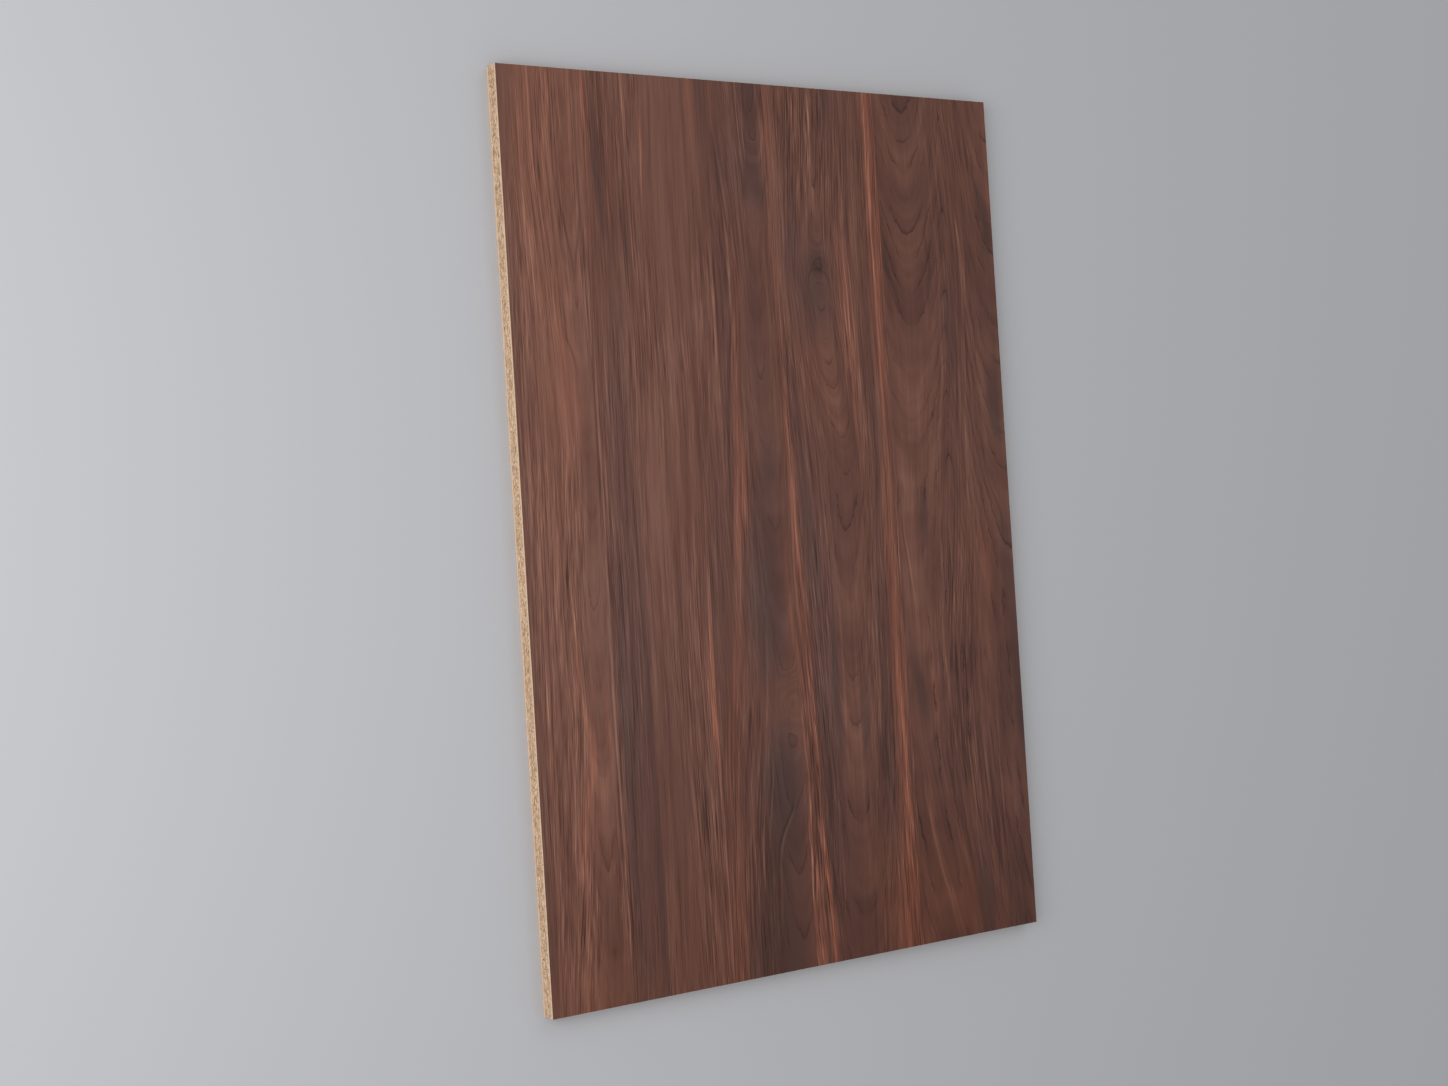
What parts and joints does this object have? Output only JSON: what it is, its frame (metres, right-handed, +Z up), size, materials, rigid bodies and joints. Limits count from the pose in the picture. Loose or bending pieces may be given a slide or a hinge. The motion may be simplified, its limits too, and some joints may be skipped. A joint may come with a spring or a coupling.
{
  "type": "melamine-faced chipboard panel",
  "caption": "Rectangular chipboard panel with a printed walnut wood-grain face and raw sawn edges, for furniture, shelving and lining.",
  "frame": {"origin": "on the surface that the panel lies on, under the middle of its underside", "axes": "+X across the grain, towards the picture's right; +Y along the grain and the panel's length, towards the picture's top; +Z up, out of the wood-grain face"},
  "size_m": [0.6, 0.9, 0.018],
  "materials": {
    "chipboard": "raw sawn three-layer chipboard, fine pale outer layers and coarser flecked middle",
    "decor_paper": "walnut wood-grain print under melamine resin, satin, with a fine pore texture",
    "backing_paper": "walnut wood-grain print under melamine resin, satin, as on the face"
  },
  "bodies": {
    "root": {"chipboard_core": "chipboard", "decor_face": "decor_paper", "backing_face": "backing_paper"}
  },
  "joints": []
}
